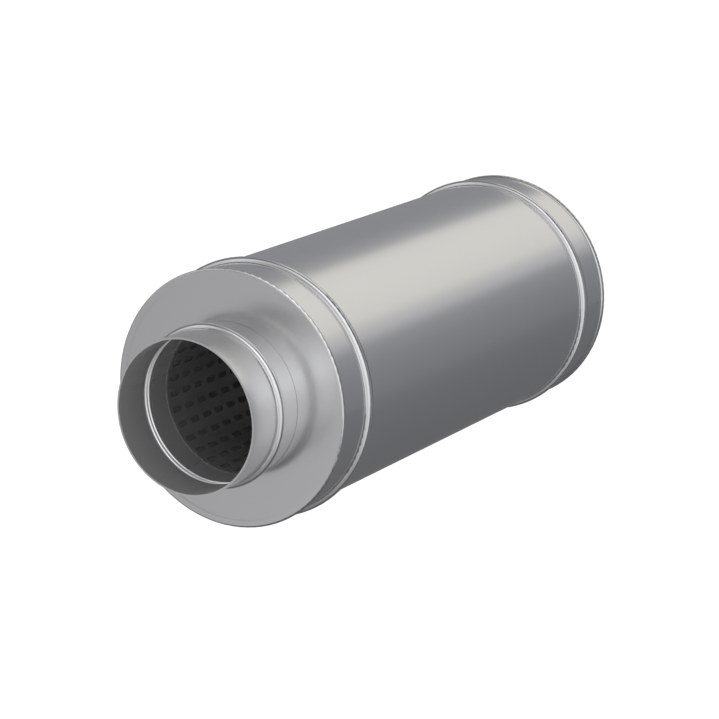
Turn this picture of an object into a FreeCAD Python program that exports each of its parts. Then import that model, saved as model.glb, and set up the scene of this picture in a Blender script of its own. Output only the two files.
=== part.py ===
import FreeCAD, Part
import math
import os

# Round duct sound attenuator: a sheet steel casing packed with stone wool round a perforated airway.
# The airway runs along Y, the front spigot points to -Y, and +Z is up.
# The origin is the middle of the casing on its axis. Every size is in millimetres.

# Casing
CASING_DIAMETER = 260.0
CASING_LENGTH = 592.0
CASING_SHEET = 0.7
CASING_BEAD_FROM_END = 52.4
CASING_BEAD_WIDTH = 13.0
CASING_BEAD_HEIGHT = 5.0
CASING_BEAD_FOOT_RADIUS = 1.6
SEAM_WIDTH = 8.0
SEAM_ANGLE = 215.0
SEAM_FROM_END = 14.0

# Rolled rim at each end of the casing
RIM_HEIGHT = 2.8
RIM_CORNER_RADIUS = 2.0
RIM_SHOULDER_LENGTH = 6.0
RIM_FLANGE_WIDTH = 7.7

# End discs and the sealing rings behind them
DISC_SHEET = 0.7
DISC_EDGE_CLEARANCE = 0.2
COLLAR_LENGTH = 7.5
COLLAR_MOUTH_RADIUS = 0.2
COLLAR_BACK_RADIUS = 0.6
SEAL_WOOL_CLEARANCE = 0.3

# Spigots, made to slide into a duct
DUCT_DIAMETER = 160.0
DUCT_CLEARANCE = 0.4
SPIGOT_SHEET = 1.8
SPIGOT_LENGTH = 79.5
SPIGOT_TAIL = 8.0
SPIGOT_BEAD_FROM_RIM = 48.8
SPIGOT_BEAD_WIDTH = 12.0
SPIGOT_BEAD_HEIGHT = 4.6
SPIGOT_BEAD_FOOT_RADIUS = 1.0
SLIDING_CLEARANCE = 0.1

# Perforated tube. The real one has about 30 rows of 26 slots; here there is every third row, with 12 slots.
TUBE_SHEET = 0.6
TUBE_FROM_END = 3.8
SLOT_ROWS = 10
SLOT_COLUMNS = 12
SLOT_FIRST_ANGLE = 6.0
SLOT_LENGTH = 15.3
SLOT_WIDTH = 6.2
SLOT_END_MARGIN = 4.5

# Fleece and wool
FLEECE_CLEARANCE = 0.2
FLEECE_THICKNESS = 1.0
FLEECE_END_CLEARANCE = 0.5
WOOL_WALL_CLEARANCE = 1.4
WOOL_FLEECE_CLEARANCE = 0.2
WOOL_END_CLEARANCE = 0.5
WOOL_COLLAR_CLEARANCE = 0.5
WOOL_SPLIT_GAP = 0.6

# Sizes that follow from those above
CASING_RADIUS = CASING_DIAMETER / 2
HALF_LENGTH = CASING_LENGTH / 2
RIM_RADIUS = CASING_RADIUS + RIM_HEIGHT
SPIGOT_RADIUS = DUCT_DIAMETER / 2 - DUCT_CLEARANCE
SPIGOT_BORE = SPIGOT_RADIUS - SPIGOT_SHEET
SPIGOT_TAIL_END = HALF_LENGTH - SPIGOT_TAIL
COLLAR_BORE = SPIGOT_RADIUS + SLIDING_CLEARANCE
COLLAR_RADIUS = COLLAR_BORE + DISC_SHEET
DISC_FACE = HALF_LENGTH - CASING_SHEET
DISC_BACK = DISC_FACE - DISC_SHEET
TUBE_RADIUS = SPIGOT_BORE - SLIDING_CLEARANCE
TUBE_HALF_LENGTH = HALF_LENGTH - TUBE_FROM_END
FLEECE_BORE = TUBE_RADIUS + FLEECE_CLEARANCE
FLEECE_RADIUS = FLEECE_BORE + FLEECE_THICKNESS
WOOL_BORE = FLEECE_RADIUS + WOOL_FLEECE_CLEARANCE
WOOL_RADIUS = CASING_RADIUS - CASING_SHEET - WOOL_WALL_CLEARANCE

ORIGIN = FreeCAD.Vector(0, 0, 0)
AXIS = FreeCAD.Vector(0, 1, 0)


class Section:
    """A closed outline of radius against Y, which is turned about the Y axis into a solid."""

    def __init__(self, radius, y):
        self.start = FreeCAD.Vector(radius, y, 0)
        self.end = self.start
        self.edges = []

    def line(self, radius, y):
        target = FreeCAD.Vector(radius, y, 0)
        if target.distanceToPoint(self.end) > 1e-6:
            self.edges.append(Part.LineSegment(self.end, target).toShape())
            self.end = target

    def arc(self, centre_radius, centre_y, arc_radius, first, last):
        """An arc between two angles in degrees, 0 pointing away from the axis and 90 along +Y."""
        points = []
        for angle in (first, (first + last) / 2, last):
            turn = math.radians(angle)
            radius = centre_radius + arc_radius * math.cos(turn)
            points.append(FreeCAD.Vector(radius, centre_y + arc_radius * math.sin(turn), 0))
        self.line(points[0].x, points[0].y)
        self.edges.append(Part.Arc(self.end, points[1], points[2]).toShape())
        self.end = points[2]

    def swell(self, radius_from, y_from, radius_to, y_to, depth, foot=None):
        """An S-shaped wall from one radius to another, drawn at a depth below the outer surface.

        The bend at the smaller radius is the foot, and the other one is the crown. They are alike if no foot
        radius is given.
        """
        lean = 2 * math.atan2(abs(radius_to - radius_from), abs(y_to - y_from))
        both = abs(y_to - y_from) / math.sin(lean)
        foot = foot or both / 2
        crown = both - foot
        lean = math.degrees(lean) * math.copysign(1, y_to - y_from)
        if radius_to > radius_from:
            self.arc(radius_from + foot, y_from, foot + depth, 180, 180 - lean)
            self.arc(radius_to - crown, y_to, crown - depth, -lean, 0)
        else:
            self.arc(radius_from - crown, y_from, crown - depth, 0, lean)
            self.arc(radius_to + foot, y_to, foot + depth, 180 + lean, 180)

    def bead(self, wall, middle, width, height, foot, way, depth):
        """A rolled bead, drawn towards +Y where way is 1 and towards -Y where it is -1."""
        half = way * width / 2
        self.swell(wall, middle - half, wall + height, middle, depth, foot)
        self.swell(wall + height, middle, wall, middle + half, depth, foot)

    def turned(self, first_angle=0.0, sweep=360.0):
        self.line(self.start.x, self.start.y)
        face = Part.Face(Part.Wire(self.edges))
        face.rotate(ORIGIN, AXIS, -first_angle)
        return face.revolve(ORIGIN, AXIS, -sweep)


def casing_rim(section, way, depth, leaving):
    """The rolled rim: flange, round corner and shoulder, at the end that the line leaves or reaches."""
    end = way * (HALF_LENGTH - depth)
    corner_radius = RIM_RADIUS - RIM_CORNER_RADIUS
    corner_y = way * (HALF_LENGTH - RIM_CORNER_RADIUS)
    shoulder_y = corner_y - way * RIM_SHOULDER_LENGTH
    if leaving:
        section.line(corner_radius, end)
        section.arc(corner_radius, corner_y, RIM_CORNER_RADIUS - depth, way * 90, 0)
        section.swell(RIM_RADIUS, corner_y, CASING_RADIUS, shoulder_y, depth)
    else:
        section.swell(CASING_RADIUS, shoulder_y, RIM_RADIUS, corner_y, depth)
        section.arc(corner_radius, corner_y, RIM_CORNER_RADIUS - depth, 0, way * 90)
        section.line(RIM_RADIUS - RIM_FLANGE_WIDTH, end)


def casing_beads(section, way, depth):
    """Both stiffening beads of the casing, drawn along one side of its sheet."""
    middle = way * (HALF_LENGTH - CASING_BEAD_FROM_END)
    for y in (-middle, middle):
        section.bead(
            CASING_RADIUS, y, CASING_BEAD_WIDTH, CASING_BEAD_HEIGHT, CASING_BEAD_FOOT_RADIUS, way, depth
        )


def outer_casing():
    """One rolled sheet with two beads, its ends rolled in over the discs, and a folded lock seam."""
    sheet = Section(RIM_RADIUS - RIM_FLANGE_WIDTH, -HALF_LENGTH)
    casing_rim(sheet, -1, 0, leaving=True)
    casing_beads(sheet, 1, 0)
    casing_rim(sheet, 1, 0, leaving=False)
    sheet.line(RIM_RADIUS - RIM_FLANGE_WIDTH, HALF_LENGTH - CASING_SHEET)
    casing_rim(sheet, 1, CASING_SHEET, leaving=True)
    casing_beads(sheet, -1, CASING_SHEET)
    casing_rim(sheet, -1, CASING_SHEET, leaving=False)

    # The seam is two more layers of the sheet, folded flat along the casing and notched at the rims.
    seam_end = HALF_LENGTH - SEAM_FROM_END
    seam_top = -2 * CASING_SHEET
    seam_root = CASING_SHEET / 2
    fold = Section(CASING_RADIUS - seam_top, -seam_end)
    casing_beads(fold, 1, seam_top)
    fold.line(CASING_RADIUS - seam_top, seam_end)
    fold.line(CASING_RADIUS - seam_root, seam_end)
    casing_beads(fold, -1, seam_root)
    fold.line(CASING_RADIUS - seam_root, -seam_end)
    seam_sweep = math.degrees(SEAM_WIDTH / CASING_RADIUS)
    seam = fold.turned(SEAM_ANGLE - seam_sweep / 2, seam_sweep)
    return sheet.turned().fuse(seam)


def end_disc():
    """Flat ring of sheet, clamped under the casing's flange, with a collar drawn inwards for the spigot.

    The mouth of the collar is pressed nearly sharp, so that it closes round the spigot.
    """
    edge = RIM_RADIUS - RIM_CORNER_RADIUS - DISC_EDGE_CLEARANCE
    collar_end = DISC_FACE - COLLAR_LENGTH
    disc = Section(edge, DISC_FACE)
    mouth = COLLAR_MOUTH_RADIUS
    back = COLLAR_BACK_RADIUS
    disc.arc(COLLAR_BORE + mouth, DISC_FACE - mouth, mouth, 90, 180)
    disc.line(COLLAR_BORE, collar_end)
    disc.line(COLLAR_RADIUS, collar_end)
    disc.arc(COLLAR_RADIUS + back, DISC_BACK - back, back, 180, 90)
    disc.line(edge, DISC_BACK)
    return disc.turned()


def rim_seal():
    """Rubber ring wedged between the disc's back and the shoulder of the casing."""
    lean = 2 * math.atan2(RIM_HEIGHT, RIM_SHOULDER_LENGTH)
    outside = CASING_RADIUS + RIM_HEIGHT / 2 - CASING_SHEET * math.cos(lean)
    reach = RIM_CORNER_RADIUS + RIM_SHOULDER_LENGTH / 2 - CASING_SHEET * math.sin(lean)
    seat = HALF_LENGTH - reach
    inside = WOOL_RADIUS + SEAL_WOOL_CLEARANCE
    seal = Section(outside, DISC_BACK)
    seal.line(outside, seat)
    seal.line(inside, seat)
    seal.line(inside, DISC_BACK)
    return seal.turned()


def spigot():
    """Rolled tube that passes through the disc, with a bead that stops the duct."""
    rim = HALF_LENGTH + SPIGOT_LENGTH
    bead_y = rim - SPIGOT_BEAD_FROM_RIM
    bead = (SPIGOT_RADIUS, bead_y, SPIGOT_BEAD_WIDTH, SPIGOT_BEAD_HEIGHT, SPIGOT_BEAD_FOOT_RADIUS)
    tube = Section(SPIGOT_RADIUS, SPIGOT_TAIL_END)
    tube.bead(*bead, 1, 0)
    tube.line(SPIGOT_RADIUS, rim)
    tube.line(SPIGOT_BORE, rim)
    tube.bead(*bead, -1, SPIGOT_SHEET)
    tube.line(SPIGOT_BORE, SPIGOT_TAIL_END)
    return tube.turned()


def ring(inner, outer, half_length):
    """Plain ring about the origin."""
    section = Section(outer, -half_length)
    section.line(outer, half_length)
    section.line(inner, half_length)
    section.line(inner, -half_length)
    return section.turned()


def perforated_tube():
    """Airway tube with straight rows of slots, its ends slipped into the spigots."""
    bore = TUBE_RADIUS - TUBE_SHEET
    middle = (bore + TUBE_RADIUS) / 2
    cutter_depth = 4 * TUBE_SHEET
    first = TUBE_HALF_LENGTH - SLOT_END_MARGIN - SLOT_LENGTH / 2
    pitch = 2 * first / (SLOT_COLUMNS - 1)
    slots = []
    for column in range(SLOT_COLUMNS):
        corner_y = column * pitch - first - SLOT_LENGTH / 2
        corner = FreeCAD.Vector(middle - cutter_depth / 2, corner_y, -SLOT_WIDTH / 2)
        for row in range(SLOT_ROWS):
            slot = Part.makeBox(cutter_depth, SLOT_LENGTH, SLOT_WIDTH, corner)
            slot.rotate(ORIGIN, AXIS, -SLOT_FIRST_ANGLE - row * 360 / SLOT_ROWS)
            slots.append(slot)
    return ring(bore, TUBE_RADIUS, TUBE_HALF_LENGTH).cut(Part.Compound(slots))


def fleece_wrap():
    """Thin fleece round the perforated tube, between the tails of the spigots."""
    return ring(FLEECE_BORE, FLEECE_RADIUS, SPIGOT_TAIL_END - FLEECE_END_CLEARANCE)


def wool_shells():
    """Upper and lower half of the stone wool pipe section, hollowed at its ends round the collars."""
    end = DISC_BACK - WOOL_END_CLEARANCE
    step = min(SPIGOT_TAIL_END, DISC_FACE - COLLAR_LENGTH) - WOOL_COLLAR_CLEARANCE
    recess = COLLAR_RADIUS + WOOL_COLLAR_CLEARANCE
    section = Section(WOOL_RADIUS, -end)
    section.line(WOOL_RADIUS, end)
    section.line(recess, end)
    section.line(recess, step)
    section.line(WOOL_BORE, step)
    section.line(WOOL_BORE, -step)
    section.line(recess, -step)
    section.line(recess, -end)
    split = math.degrees(WOOL_SPLIT_GAP / 2 / WOOL_BORE)
    upper = section.turned(split, 180 - 2 * split)
    lower = upper.mirror(ORIGIN, FreeCAD.Vector(0, 0, 1))
    return upper, lower


def front(rear_piece):
    """The like piece at the -Y end."""
    return rear_piece.mirror(ORIGIN, AXIS)


def main():
    upper_wool, lower_wool = wool_shells()
    pieces = {
        "outer_casing": outer_casing(),
        "front_end_disc": front(end_disc()),
        "rear_end_disc": end_disc(),
        "front_rim_seal": front(rim_seal()),
        "rear_rim_seal": rim_seal(),
        "front_spigot": front(spigot()),
        "rear_spigot": spigot(),
        "perforated_tube": perforated_tube(),
        "fleece_wrap": fleece_wrap(),
        "upper_wool_shell": upper_wool,
        "lower_wool_shell": lower_wool,
    }
    os.makedirs("parts", exist_ok=True)
    for name, shape in pieces.items():
        solid = shape.removeSplitter()
        solid.exportStep("parts/" + name + ".step")
        box = solid.BoundBox
        print(name, len(solid.Solids), "solid", round(solid.Volume), "mm3,",
              round(box.XLength, 2), round(box.YLength, 2), round(box.ZLength, 2))


main()
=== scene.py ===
import math

import bmesh
import bpy
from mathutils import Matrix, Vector


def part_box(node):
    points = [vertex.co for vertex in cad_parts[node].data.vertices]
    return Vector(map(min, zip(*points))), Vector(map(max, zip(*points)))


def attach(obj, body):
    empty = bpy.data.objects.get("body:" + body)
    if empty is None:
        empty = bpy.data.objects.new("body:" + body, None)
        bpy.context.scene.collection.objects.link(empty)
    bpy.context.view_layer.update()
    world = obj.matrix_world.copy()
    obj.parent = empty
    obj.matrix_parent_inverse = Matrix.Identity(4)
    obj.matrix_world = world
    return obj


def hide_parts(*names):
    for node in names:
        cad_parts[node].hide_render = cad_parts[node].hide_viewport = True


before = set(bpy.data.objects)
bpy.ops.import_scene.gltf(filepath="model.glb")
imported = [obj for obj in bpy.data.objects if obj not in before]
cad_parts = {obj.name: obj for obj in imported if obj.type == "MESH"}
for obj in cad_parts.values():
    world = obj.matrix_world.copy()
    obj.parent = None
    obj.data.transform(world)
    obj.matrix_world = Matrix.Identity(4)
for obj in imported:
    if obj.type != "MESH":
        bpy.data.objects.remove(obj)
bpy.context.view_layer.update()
scene = bpy.context.scene

# Camera. It stands in front and to the right of the attenuator and looks down on it, with a long
# lens. Its place follows from where the middle of the front spigot's rim lies in its view.
azimuth = math.radians(30.23)
elevation = math.radians(14.19)
to_camera = Vector((
    math.sin(azimuth) * math.cos(elevation),
    -math.cos(azimuth) * math.cos(elevation),
    math.sin(elevation),
))
front_rim = Vector((0, -0.37774, 0))
rim_in_view = Vector((-0.171160, -0.056929, -2.670274))
camera_turn = to_camera.to_track_quat("Z", "Y")
camera_data = bpy.data.cameras.new("camera")
camera_data.sensor_width = 36
camera_data.lens = 137.67
camera_data.clip_start = 0.05
camera_data.clip_end = 200
camera = bpy.data.objects.new("camera", camera_data)
camera.rotation_mode = "QUATERNION"
camera.rotation_quaternion = camera_turn
camera.location = front_rim - camera_turn @ rim_in_view
scene.collection.objects.link(camera)
scene.camera = camera

# Outer casing. One sheet of zinc-coated steel, rolled round the wool and closed by a folded lock
# seam on the far side, with a stiffening bead near each end and its ends rolled in over the discs.
zinc_tone = 0.77
zinc_color = (zinc_tone, zinc_tone, zinc_tone)


def steel_grain():
    """Fine grain from the coating, and a faint cloudiness that the rolls leave in the sheet."""
    tree = bpy.data.node_groups.new("sheet_grain", "ShaderNodeTree")
    for name, kind, value in (
        ("Color", "NodeSocketColor", (0.6, 0.6, 0.6, 1)),
        ("Roughness", "NodeSocketFloat", 0.35),
        ("Cloudiness", "NodeSocketFloat", 0.05),
        ("Grain", "NodeSocketFloat", 0.06),
        ("Grain Size", "NodeSocketFloat", 900),
    ):
        socket = tree.interface.new_socket(name, in_out="INPUT", socket_type=kind)
        socket.default_value = value
    tree.interface.new_socket("Color", in_out="OUTPUT", socket_type="NodeSocketColor")
    tree.interface.new_socket("Roughness", in_out="OUTPUT", socket_type="NodeSocketFloat")
    tree.interface.new_socket("Height", in_out="OUTPUT", socket_type="NodeSocketFloat")
    nodes, links = tree.nodes, tree.links
    given = nodes.new("NodeGroupInput")
    result = nodes.new("NodeGroupOutput")
    place = nodes.new("ShaderNodeTexCoord")

    fine = nodes.new("ShaderNodeTexNoise")
    fine.inputs["Detail"].default_value = 3
    fine.inputs["Roughness"].default_value = 0.6
    links.new(place.outputs["Object"], fine.inputs["Vector"])
    links.new(given.outputs["Grain Size"], fine.inputs["Scale"])
    clouds = nodes.new("ShaderNodeTexNoise")
    clouds.inputs["Scale"].default_value = 14
    clouds.inputs["Detail"].default_value = 4
    links.new(place.outputs["Object"], clouds.inputs["Vector"])

    def centred(texture, amount):
        away = nodes.new("ShaderNodeMath")
        away.operation = "SUBTRACT"
        away.inputs[1].default_value = 0.5
        links.new(texture.outputs["Fac"], away.inputs[0])
        scaled = nodes.new("ShaderNodeMath")
        scaled.operation = "MULTIPLY"
        links.new(away.outputs[0], scaled.inputs[0])
        links.new(given.outputs[amount], scaled.inputs[1])
        return scaled

    speckle = centred(fine, "Grain")
    cloud = centred(clouds, "Cloudiness")
    both = nodes.new("ShaderNodeMath")
    links.new(speckle.outputs[0], both.inputs[0])
    links.new(cloud.outputs[0], both.inputs[1])
    about_one = nodes.new("ShaderNodeMath")
    about_one.inputs[1].default_value = 1
    links.new(both.outputs[0], about_one.inputs[0])
    tint = nodes.new("ShaderNodeVectorMath")
    tint.operation = "SCALE"
    links.new(given.outputs["Color"], tint.inputs[0])
    links.new(about_one.outputs[0], tint.inputs["Scale"])
    links.new(tint.outputs[0], result.inputs["Color"])
    dull = nodes.new("ShaderNodeMath")
    links.new(given.outputs["Roughness"], dull.inputs[0])
    links.new(both.outputs[0], dull.inputs[1])
    links.new(dull.outputs[0], result.inputs["Roughness"])
    links.new(fine.outputs["Fac"], result.inputs["Height"])
    return tree


sheet_grain = steel_grain()


def grained(name, color, roughness, cloudiness, grain, grain_size, bump, bump_depth):
    """A material whose colour, roughness and relief vary with the grain."""
    material = bpy.data.materials.new(name)
    material.use_nodes = True
    nodes, links = material.node_tree.nodes, material.node_tree.links
    shader = nodes["Principled BSDF"]
    surface = nodes.new("ShaderNodeGroup")
    surface.node_tree = sheet_grain
    for socket, value in (
        ("Color", (*color, 1)), ("Roughness", roughness), ("Cloudiness", cloudiness),
        ("Grain", grain), ("Grain Size", grain_size),
    ):
        surface.inputs[socket].default_value = value
    relief = nodes.new("ShaderNodeBump")
    relief.inputs["Strength"].default_value = bump
    relief.inputs["Distance"].default_value = bump_depth
    links.new(surface.outputs["Color"], shader.inputs["Base Color"])
    links.new(surface.outputs["Roughness"], shader.inputs["Roughness"])
    links.new(surface.outputs["Height"], relief.inputs["Height"])
    links.new(relief.outputs["Normal"], shader.inputs["Normal"])
    return material


def sheet_steel(name, color, roughness, cloudiness, grain, bump):
    """Zinc-coated steel sheet, with a fine shallow relief."""
    material = grained(
        name, color, roughness, cloudiness, grain, grain_size=900, bump=bump, bump_depth=0.0002
    )
    material.node_tree.nodes["Principled BSDF"].inputs["Metallic"].default_value = 1
    return material


def finish_node(name, material):
    """Puts the material on a piece whose shape comes from the frame as it is."""
    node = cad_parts[name]
    node.data.materials.clear()
    node.data.materials.append(material)


casing_steel = sheet_steel(
    "casing_steel", zinc_color, roughness=0.20, cloudiness=0.03, grain=0.02, bump=0.02
)
finish_node("outer_casing", casing_steel)

# End discs. Flat rings pressed from the same sheet, clamped under the rolled-in ends of the casing,
# with a collar drawn inwards to hold the spigot.
disc_steel = sheet_steel(
    "disc_steel", zinc_color, roughness=0.22, cloudiness=0.03, grain=0.02, bump=0.02
)
finish_node("front_end_disc", disc_steel)
finish_node("rear_end_disc", disc_steel)

# Rim seals. Black rubber rings, one behind each end disc, wedged between the back of the disc
# and the shoulder of the casing, so that no air leaks out there.
def soft_surface(name, color, roughness, grain_size, variation, bump):
    """Rubber, fleece or wool, with a deeper relief than the sheet has."""
    return grained(
        name, color, roughness, variation, variation, grain_size, bump, bump_depth=0.0005
    )


seal_rubber = soft_surface(
    "seal_rubber", (0.03, 0.03, 0.03), roughness=0.7, grain_size=500,
    variation=0.3, bump=0.3,
)
finish_node("front_rim_seal", seal_rubber)
finish_node("rear_rim_seal", seal_rubber)

# Spigots. Short tubes rolled from steel sheet, with a bead that stops the duct. Each sits in the
# collar of its end disc, and its tail holds one end of the perforated tube.
spigot_steel = sheet_steel(
    "spigot_steel", zinc_color, roughness=0.20, cloudiness=0.03, grain=0.02, bump=0.02
)
spigot_bore = 0.0778
bore_metallic = 0.72
bore_margin = 0.00003
edge_blend = 0.00007


def value_by_radius():
    """One value up to a radius round the airway's axis, and another value beyond it."""
    tree = bpy.data.node_groups.new("value_by_radius", "ShaderNodeTree")
    for name in ("Start", "End", "Inside", "Outside"):
        tree.interface.new_socket(name, in_out="INPUT", socket_type="NodeSocketFloat")
    tree.interface.new_socket("Value", in_out="OUTPUT", socket_type="NodeSocketFloat")
    nodes, links = tree.nodes, tree.links
    given = nodes.new("NodeGroupInput")
    result = nodes.new("NodeGroupOutput")
    place = nodes.new("ShaderNodeTexCoord")
    flat = nodes.new("ShaderNodeVectorMath")
    flat.operation = "MULTIPLY"
    flat.inputs[1].default_value = (1, 0, 1)
    away = nodes.new("ShaderNodeVectorMath")
    away.operation = "LENGTH"
    change = nodes.new("ShaderNodeMapRange")
    links.new(place.outputs["Object"], flat.inputs[0])
    links.new(flat.outputs[0], away.inputs[0])
    links.new(away.outputs["Value"], change.inputs["Value"])
    links.new(given.outputs["Start"], change.inputs["From Min"])
    links.new(given.outputs["End"], change.inputs["From Max"])
    links.new(given.outputs["Inside"], change.inputs["To Min"])
    links.new(given.outputs["Outside"], change.inputs["To Max"])
    links.new(change.outputs["Result"], result.inputs["Value"])
    return tree


radial_value = value_by_radius()


def change_past_bore(material, bore, inside, outside, socket):
    """Gives the socket one value on the bore's face and another on the edges and outside."""
    change = material.node_tree.nodes.new("ShaderNodeGroup")
    change.node_tree = radial_value
    change.inputs["Start"].default_value = bore + bore_margin
    change.inputs["End"].default_value = bore + bore_margin + edge_blend
    change.inputs["Inside"].default_value = inside
    change.inputs["Outside"].default_value = outside
    material.node_tree.links.new(change.outputs["Value"], socket)


# The bore is less of a mirror, as zinc is where it isn't rubbed.
spigot_shader = spigot_steel.node_tree.nodes["Principled BSDF"]
change_past_bore(spigot_steel, spigot_bore, bore_metallic, 1, spigot_shader.inputs["Metallic"])
finish_node("front_spigot", spigot_steel)
finish_node("rear_spigot", spigot_steel)

# Perforated tube. Steel sheet with 30 straight rows of 26 round-ended slots, rolled into the
# airway, its plain ends slipped into the tails of the spigots. It takes the place of the plainer
# CAD tube.
sheet_tone = 0.48
# Colour of the cut edges and outer face, darkened as painted shade to hide their glints.
cut_edge_painted_shade_tone = 0.10
sheet_metallic = 0.75
perforated_steel = sheet_steel(
    "perforated_steel", (sheet_tone, sheet_tone, sheet_tone),
    roughness=0.38, cloudiness=0.06, grain=0.05, bump=0.08,
)
perforated_shader = perforated_steel.node_tree.nodes["Principled BSDF"]
perforated_shader.inputs["Metallic"].default_value = sheet_metallic
slot_rows = 30
slot_columns = 26
slot_length = 0.0153
slot_width = 0.0062
tube_sheet = 0.0006
first_row = math.radians(6.0)
weld_distance = 1e-5
sharp_edge = math.radians(40)
tube_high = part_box("perforated_tube")[1]
tube_radius = tube_high.x
tube_end = tube_high.y
# Painted shade: the sheet's cut edges, in the slots and at the ends, and its outer face get a much
# darker colour than its inner face, so that they catch no glints.
tube_surface = perforated_steel.node_tree.nodes["Group"]
change_past_bore(
    perforated_steel, tube_radius - tube_sheet, sheet_tone, cut_edge_painted_shade_tone, tube_surface.inputs["Color"]
)
casing_half = 0.296
first_slot_from_face = 0.0083
slots_half = casing_half - first_slot_from_face
column_pitch = (2 * slots_half - slot_length) / (slot_columns - 1)
row_pitch = 2 * math.pi / slot_rows


def slot_cell_mesh():
    """One flat cell of the sheet with its slot, X across the row and Y along the tube."""
    cell = bpy.data.meshes.new("slot_cell")
    across = tube_radius * row_pitch / 2
    along = column_pitch / 2
    straight = (slot_length - slot_width) / 2
    hole = []
    border = []
    for end in (1, -1):
        edge = [
            (across, straight), (across, along), (0, along), (-across, along), (-across, straight),
        ]
        for step, (x, y) in enumerate(edge):
            turn = math.pi * step / (len(edge) - 1)
            hole.append((
                end * slot_width / 2 * math.cos(turn),
                end * (straight + slot_width / 2 * math.sin(turn)),
            ))
            border.append((end * x, end * y))
    count = len(hole)
    points = [(x, y, 0) for x, y in hole + border]
    faces = [(i, count + i, count + (i + 1) % count, (i + 1) % count) for i in range(count)]
    cell.from_pydata(points, [], faces)
    return cell


def perforated_sheet():
    """Rows and columns of cells, laid flat and rolled round the axis into the slotted length."""
    tree = bpy.data.node_groups.new("rolled_perforation", "GeometryNodeTree")
    for name, kind in (
        ("Cell", "NodeSocketObject"), ("Rows", "NodeSocketInt"), ("Columns", "NodeSocketInt"),
        ("Row Pitch", "NodeSocketFloat"), ("Column Pitch", "NodeSocketFloat"),
        ("Radius", "NodeSocketFloat"), ("First Row", "NodeSocketFloat"),
        ("Material", "NodeSocketMaterial"),
    ):
        tree.interface.new_socket(name, in_out="INPUT", socket_type=kind)
    tree.interface.new_socket("Mesh", in_out="OUTPUT", socket_type="NodeSocketGeometry")
    nodes, links = tree.nodes, tree.links
    given = nodes.new("NodeGroupInput")
    result = nodes.new("NodeGroupOutput")

    def math_node(operation, first, second):
        node = nodes.new("ShaderNodeMath")
        node.operation = operation
        for socket, value in zip(node.inputs, (first, second)):
            if isinstance(value, (int, float)):
                socket.default_value = value
            elif value is not None:
                links.new(value, socket)
        return node.outputs[0]

    cells = nodes.new("GeometryNodeObjectInfo")
    links.new(given.outputs["Cell"], cells.inputs["Object"])
    grid = nodes.new("GeometryNodeMeshLine")
    slots = math_node("MULTIPLY", given.outputs["Rows"], given.outputs["Columns"])
    links.new(slots, grid.inputs["Count"])
    index = nodes.new("GeometryNodeInputIndex")
    row = math_node("FLOOR", math_node("DIVIDE", index.outputs[0], given.outputs["Columns"]), None)
    in_rows_before = math_node("MULTIPLY", row, given.outputs["Columns"])
    column = math_node("SUBTRACT", index.outputs[0], in_rows_before)
    middle = math_node("DIVIDE", math_node("SUBTRACT", given.outputs["Columns"], 1), 2)
    spot = nodes.new("ShaderNodeCombineXYZ")
    links.new(math_node("MULTIPLY", row, given.outputs["Row Pitch"]), spot.inputs["X"])
    links.new(
        math_node("MULTIPLY", math_node("SUBTRACT", column, middle), given.outputs["Column Pitch"]),
        spot.inputs["Y"],
    )
    laid = nodes.new("GeometryNodeSetPosition")
    links.new(grid.outputs[0], laid.inputs["Geometry"])
    links.new(spot.outputs[0], laid.inputs["Position"])
    stamped = nodes.new("GeometryNodeInstanceOnPoints")
    links.new(laid.outputs[0], stamped.inputs["Points"])
    links.new(cells.outputs["Geometry"], stamped.inputs["Instance"])
    flat = nodes.new("GeometryNodeRealizeInstances")
    links.new(stamped.outputs[0], flat.inputs[0])

    # Rolling: the distance across the sheet becomes an angle round the axis.
    place = nodes.new("GeometryNodeInputPosition")
    parts = nodes.new("ShaderNodeSeparateXYZ")
    links.new(place.outputs[0], parts.inputs[0])
    from_first_row = math_node("DIVIDE", parts.outputs["X"], given.outputs["Radius"])
    turn = math_node("ADD", from_first_row, given.outputs["First Row"])
    rolled = nodes.new("ShaderNodeCombineXYZ")
    for axis, function in (("X", "COSINE"), ("Z", "SINE")):
        share = math_node(function, turn, None)
        links.new(math_node("MULTIPLY", share, given.outputs["Radius"]), rolled.inputs[axis])
    links.new(parts.outputs["Y"], rolled.inputs["Y"])
    bent = nodes.new("GeometryNodeSetPosition")
    links.new(flat.outputs[0], bent.inputs["Geometry"])
    links.new(rolled.outputs[0], bent.inputs["Position"])
    joined = nodes.new("GeometryNodeMergeByDistance")
    joined.inputs["Distance"].default_value = weld_distance
    links.new(bent.outputs[0], joined.inputs["Geometry"])
    real = nodes.new("GeometryNodeRealizeInstances")
    links.new(joined.outputs[0], real.inputs[0])
    coated = nodes.new("GeometryNodeSetMaterial")
    links.new(real.outputs[0], coated.inputs["Geometry"])
    links.new(given.outputs["Material"], coated.inputs["Material"])
    links.new(coated.outputs[0], result.inputs["Mesh"])
    return tree


cell_object = bpy.data.objects.new("slot_cell", slot_cell_mesh())
scene.collection.objects.link(cell_object)
holder = bpy.data.objects.new("slot_sheet", bpy.data.meshes.new("slot_sheet"))
scene.collection.objects.link(holder)
rolling = holder.modifiers.new("rolled_perforation", "NODES")
rolling.node_group = perforated_sheet()
roll_sizes = {
    "Cell": cell_object, "Rows": slot_rows, "Columns": slot_columns,
    "Row Pitch": tube_radius * row_pitch, "Column Pitch": column_pitch,
    "Radius": tube_radius, "First Row": first_row, "Material": perforated_steel,
}
for item in rolling.node_group.interface.items_tree:
    if item.item_type == "SOCKET" and item.in_out == "INPUT":
        rolling[item.identifier] = roll_sizes[item.name]
evaluated = holder.evaluated_get(bpy.context.evaluated_depsgraph_get())
tube_mesh = bpy.data.meshes.new_from_object(evaluated)
bpy.data.objects.remove(holder)
bpy.data.objects.remove(cell_object)

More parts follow.
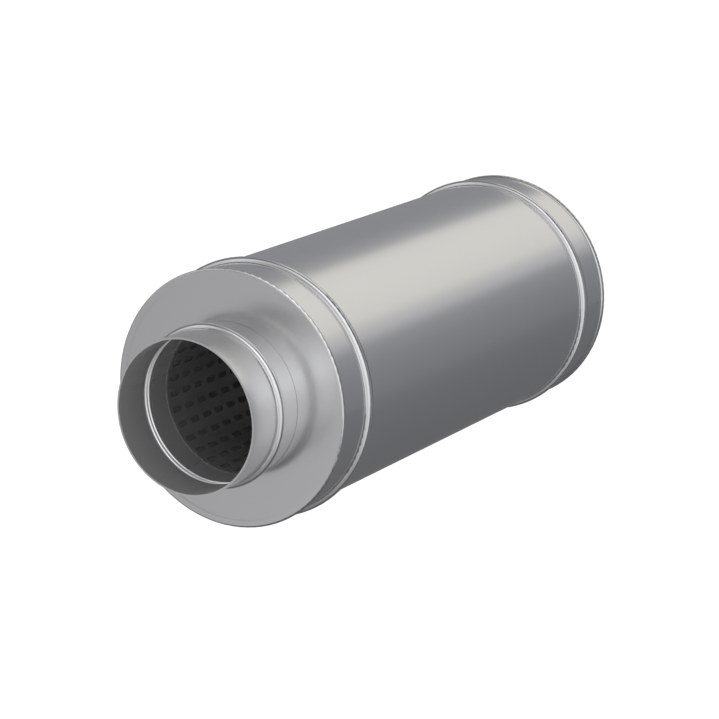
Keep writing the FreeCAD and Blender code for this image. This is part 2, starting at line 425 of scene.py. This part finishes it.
# The plain ends are drawn out from the two open edges. The faces are turned outwards, and the
# sheet then gets its thickness inwards.
sheet = bmesh.new()
sheet.from_mesh(tube_mesh)
slotted_end = slots_half + (column_pitch - slot_length) / 2
for side in (-1, 1):
    rim_edges = [
        e for e in sheet.edges
        if e.is_boundary and all(abs(v.co.y - side * slotted_end) < weld_distance for v in e.verts)
    ]
    drawn = bmesh.ops.extrude_edge_only(sheet, edges=rim_edges)
    for vertex in (v for v in drawn["geom"] if isinstance(v, bmesh.types.BMVert)):
        vertex.co.y = side * tube_end
bmesh.ops.recalc_face_normals(sheet, faces=sheet.faces)
outward = sum(
    face.normal.dot(face.calc_center_median() * Vector((1, 0, 1))) for face in sheet.faces
)
if outward < 0:
    bmesh.ops.reverse_faces(sheet, faces=sheet.faces)
sheet.to_mesh(tube_mesh)
sheet.free()
tube_mesh.name = "slotted_tube"
slotted_tube = bpy.data.objects.new("slotted_tube", tube_mesh)
scene.collection.objects.link(slotted_tube)
walls = slotted_tube.modifiers.new("sheet", "SOLIDIFY")
walls.thickness = tube_sheet
walls.offset = -1
evaluated = slotted_tube.evaluated_get(bpy.context.evaluated_depsgraph_get())
slotted_tube.data = bpy.data.meshes.new_from_object(evaluated)
slotted_tube.modifiers.remove(walls)
slotted_tube.data.shade_smooth()
slotted_tube.data.set_sharp_from_angle(angle=sharp_edge)
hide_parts("perforated_tube")
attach(slotted_tube, "root")

# Fleece. A thin black fibre cloth wrapped round the perforated tube, between it and the wool.
# It keeps the wool's fibres out of the air.
black_fleece = soft_surface(
    "black_fleece", (0.11, 0.11, 0.11), roughness=0.95, grain_size=700,
    variation=0.5, bump=0.6,
)
finish_node("fleece_wrap", black_fleece)

# Stone wool. Two half shells of pressed mineral fibre, which take up the sound. They fill the
# space between the fleece and the casing.
stone_wool = soft_surface(
    "stone_wool", (0.42, 0.40, 0.28), roughness=0.95, grain_size=220,
    variation=0.4, bump=0.8,
)
finish_node("upper_wool_shell", stone_wool)
finish_node("lower_wool_shell", stone_wool)

# Light tent. A large ball of cloth round the attenuator, seen only in reflections. Its tone
# changes with the angle round the airway's axis, from 0 at the right over 90 at the top. From front
# to back it has a grey set of tones, a bright set, a dark belt, and the set behind.
tent_radius = 12.0
warm_light = (1.03, 1.01, 0.96)
plain_light = (0.99, 0.995, 1.015)
cool_light = (0.97, 0.985, 1.04)
near_tones = (
    (0, 0.92, plain_light), (18, 1.10, plain_light), (38, 0.88, plain_light),
    (62, 0.62, plain_light), (90, 0.42, plain_light), (113, 0.31, plain_light),
    (150, 0.30, plain_light), (200, 0.45, plain_light), (213, 0.53, plain_light),
    (250, 0.42, plain_light), (290, 0.54, plain_light), (318, 0.72, plain_light),
    (345, 0.76, plain_light), (360, 0.92, plain_light),
)
front_tones = (
    (0, 0.98, plain_light), (30, 1.16, plain_light), (60, 1.34, plain_light),
    (90, 0.95, plain_light), (112, 0.50, plain_light), (138, 0.86, plain_light),
    (165, 0.50, plain_light), (207, 0.25, plain_light), (255, 0.26, plain_light),
    (290, 0.36, plain_light), (325, 0.78, plain_light), (360, 0.98, plain_light),
)
side_tones = (
    (0, 0.30, cool_light), (30, 0.12, cool_light), (90, 0.14, cool_light),
    (116, 0.14, cool_light), (207, 0.15, cool_light), (300, 0.10, cool_light),
    (330, 0.14, cool_light), (360, 0.30, cool_light),
)
rear_tones = (
    (0, 0.27, cool_light), (20, 0.32, cool_light), (36, 0.58, plain_light),
    (50, 0.77, warm_light), (75, 0.80, warm_light), (100, 0.79, warm_light),
    (116, 0.36, cool_light), (135, 0.30, cool_light), (170, 0.29, cool_light),
    (207, 0.25, cool_light), (240, 0.15, cool_light), (270, 0.16, cool_light),
    (298, 0.175, cool_light), (320, 0.19, cool_light), (348, 0.25, cool_light),
    (360, 0.27, cool_light),
)
front_middle_tone = 0.72
behind_strength = 0.4
tent_mesh = bpy.data.meshes.new("light_tent")
ball = bmesh.new()
bmesh.ops.create_icosphere(ball, subdivisions=5, radius=tent_radius)
ball.to_mesh(tent_mesh)
ball.free()
tent = bpy.data.objects.new("light_tent", tent_mesh)
scene.collection.objects.link(tent)
tent.visible_camera = False
tent.visible_diffuse = False
tent.visible_shadow = False

tent_cloth = bpy.data.materials.new("tent_cloth")
tent_cloth.use_nodes = True
nodes, links = tent_cloth.node_tree.nodes, tent_cloth.node_tree.links
nodes.clear()
out = nodes.new("ShaderNodeOutputMaterial")
glow = nodes.new("ShaderNodeEmission")
place = nodes.new("ShaderNodeTexCoord")
split = nodes.new("ShaderNodeSeparateXYZ")
angle = nodes.new("ShaderNodeMath")
angle.operation = "ARCTAN2"
turns = nodes.new("ShaderNodeMath")
turns.operation = "MULTIPLY"
turns.inputs[1].default_value = 1 / (2 * math.pi)
wrapped = nodes.new("ShaderNodeMath")
wrapped.operation = "WRAP"
wrapped.inputs[1].default_value = 1
wrapped.inputs[2].default_value = 0
links.new(place.outputs["Object"], split.inputs[0])
links.new(split.outputs["Z"], angle.inputs[0])
links.new(split.outputs["X"], angle.inputs[1])
links.new(angle.outputs[0], turns.inputs[0])
links.new(turns.outputs[0], wrapped.inputs[0])


def tone_ramp(tones):
    """The tones blended round the axis, each with its angle in degrees and its tint."""
    ramp = nodes.new("ShaderNodeValToRGB")
    elements = ramp.color_ramp.elements
    ramp.color_ramp.interpolation = "EASE"
    for degrees, tone, tint in tones:
        if degrees in (0, 360):
            element = elements[0 if degrees == 0 else len(elements) - 1]
        else:
            element = elements.new(degrees / 360)
        element.color = (*[tone * share for share in tint], 1)
    links.new(wrapped.outputs[0], ramp.inputs["Fac"])
    return ramp.outputs["Color"]


def along_axis(start, end, low, high):
    """A soft change from low to high between two places on the axis, as shares of the radius."""
    spread = nodes.new("ShaderNodeMapRange")
    spread.interpolation_type = "SMOOTHSTEP"
    spread.inputs["From Min"].default_value = start * tent_radius
    spread.inputs["From Max"].default_value = end * tent_radius
    spread.inputs["To Min"].default_value = low
    spread.inputs["To Max"].default_value = high
    links.new(split.outputs["Y"], spread.inputs["Value"])
    return spread.outputs["Result"]


# Along the airway's axis each set of tones gives way to the next, between the two places named.
cloth_color = nodes.new("ShaderNodeRGB").outputs[0]
cloth_color.default_value = (front_middle_tone, front_middle_tone, front_middle_tone, 1)
for tones, start, end in (
    (near_tones, -0.98, -0.88), (front_tones, -0.81, -0.68),
    (side_tones, -0.32, -0.12), (rear_tones, 0.05, 0.35),
):
    change = nodes.new("ShaderNodeMix")
    change.data_type = "RGBA"
    links.new(along_axis(start, end, 0, 1), change.inputs["Factor"])
    links.new(cloth_color, change.inputs["A"])
    links.new(tone_ramp(tones), change.inputs["B"])
    cloth_color = change.outputs["Result"]
links.new(cloth_color, glow.inputs["Color"])
# Straight behind, the tent is dimmer.
dimming = along_axis(start=0.90, end=0.98, low=1, high=behind_strength)
links.new(dimming, glow.inputs["Strength"])
links.new(glow.outputs[0], out.inputs["Surface"])
tent_mesh.materials.append(tent_cloth)

# Floor. A plain pale floor well below the attenuator, which hangs in its duct run, so the shadow
# is soft and falls outside the view. Reflections show the tent in the floor's place.
floor_drop = 0.9
floor_half = 30
floor_tone = 0.95
floor_lift = 0.12
floor_mesh = bpy.data.meshes.new("floor")
floor_mesh.from_pydata(
    [
        (x * floor_half, y * floor_half, -floor_drop)
        for x, y in ((-1, -1), (1, -1), (1, 1), (-1, 1))
    ],
    [],
    [(0, 1, 2, 3)],
)
floor = bpy.data.objects.new("floor", floor_mesh)
scene.collection.objects.link(floor)
floor.visible_glossy = False
floor_paint = bpy.data.materials.new("floor_paint")
floor_paint.use_nodes = True
nodes, links = floor_paint.node_tree.nodes, floor_paint.node_tree.links
paint = nodes["Principled BSDF"]
paint.inputs["Base Color"].default_value = (floor_tone, floor_tone, floor_tone, 1)
paint.inputs["Roughness"].default_value = 1
paint.inputs["Specular IOR Level"].default_value = 0
paint.inputs["Emission Color"].default_value = (1, 1, 1, 1)
seen = nodes.new("ShaderNodeLightPath")
shown = seen.outputs["Is Camera Ray"]
for ray in ("Is Glossy Ray", "Is Transmission Ray"):
    either = nodes.new("ShaderNodeMath")
    either.operation = "MAXIMUM"
    links.new(shown, either.inputs[0])
    links.new(seen.outputs[ray], either.inputs[1])
    shown = either.outputs[0]
lift = nodes.new("ShaderNodeMath")
lift.operation = "MULTIPLY"
lift.inputs[1].default_value = floor_lift
links.new(shown, lift.inputs[0])
links.new(lift.outputs[0], paint.inputs["Emission Strength"])
floor_mesh.materials.append(floor_paint)

# World. Plain white background, and level light from all sides.
world = bpy.data.worlds.new("studio")
scene.world = world
world.use_nodes = True
sky = world.node_tree.nodes["Background"]
sky.inputs["Color"].default_value = (1, 1, 1, 1)
sky.inputs["Strength"].default_value = 1

scene.view_settings.view_transform = "Standard"
